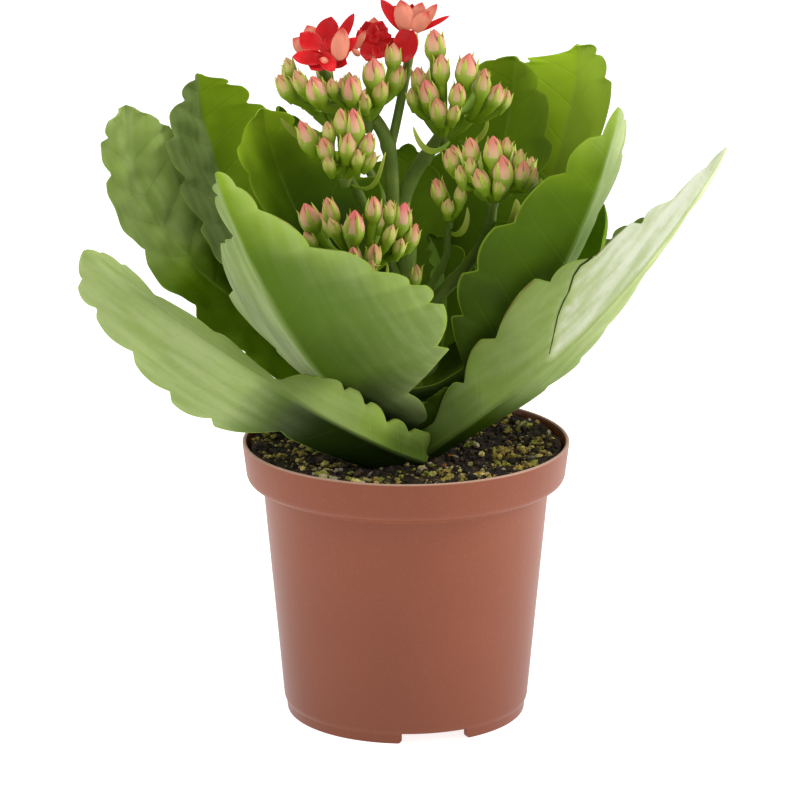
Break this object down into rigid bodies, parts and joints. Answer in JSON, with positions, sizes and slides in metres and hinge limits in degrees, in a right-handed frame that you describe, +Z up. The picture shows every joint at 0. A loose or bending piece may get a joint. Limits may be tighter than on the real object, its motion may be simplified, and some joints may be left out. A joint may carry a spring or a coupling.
{
  "type": "potted flowering succulent",
  "caption": "Flowering succulent with scalloped fleshy leaves, clusters of pointed buds and double flowers, standing in a tapered plastic pot with soil.",
  "frame": {"origin": "centre of the pot's foot, on the surface that it stands on", "axes": "+Z up along the pot's axis, -Y to the front, +X to the right seen from the front"},
  "size_m": [0.1994, 0.1237, 0.2315],
  "materials": {
    "pot_plastic": "terracotta-coloured moulded plastic, satin",
    "soil": "loose dark potting mix",
    "leaf": "waxy green leaf, paler below",
    "stalk": "smooth green stalk",
    "bud": "salmon buds in yellow-green sepals",
    "petal": "soft red petals"
  },
  "bodies": {
    "root": {"pot": "pot_plastic", "soil": "soil", "leaf_front_left_low": "leaf", "leaf_front_left": "leaf", "leaf_front_right": "leaf", "leaf_right_low": "leaf", "leaf_left": "leaf", "leaf_back_left": "leaf", "leaf_inner_left": "leaf", "leaf_back_right": "leaf", "leaf_back_right_inner": "leaf", "leaf_right_back": "leaf", "leaf_back_inner": "leaf", "leaf_inner_right": "leaf", "leaf_back_left_inner": "leaf", "leaf_basal": "leaf", "leaf_back_low": "leaf", "leaf_back_left_low": "leaf", "leaf_back_right_low": "leaf", "main_stem": "stalk", "stalk_top_left": "stalk", "stalk_top_right": "stalk", "stalk_mid_left": "stalk", "stalk_right": "stalk", "stalk_right_low": "stalk", "stalk_front": "stalk", "stalk_lone": "stalk", "stalk_back": "stalk", "head_top_left": "bud", "head_top_right": "bud", "head_mid_left": "bud", "head_right": "bud", "head_right_low": "bud", "head_front": "bud", "bud_lone": "bud", "head_back": "bud", "flower_left": "petal", "flower_middle": "petal", "flower_right": "petal", "bract_top_left": "stalk", "bract_top_right": "stalk", "bract_top_right_small": "stalk", "bract_right": "stalk", "bract_right_front": "stalk", "bract_right_low": "stalk", "bract_front": "stalk", "bract_mid_left": "stalk"}
  },
  "joints": []
}
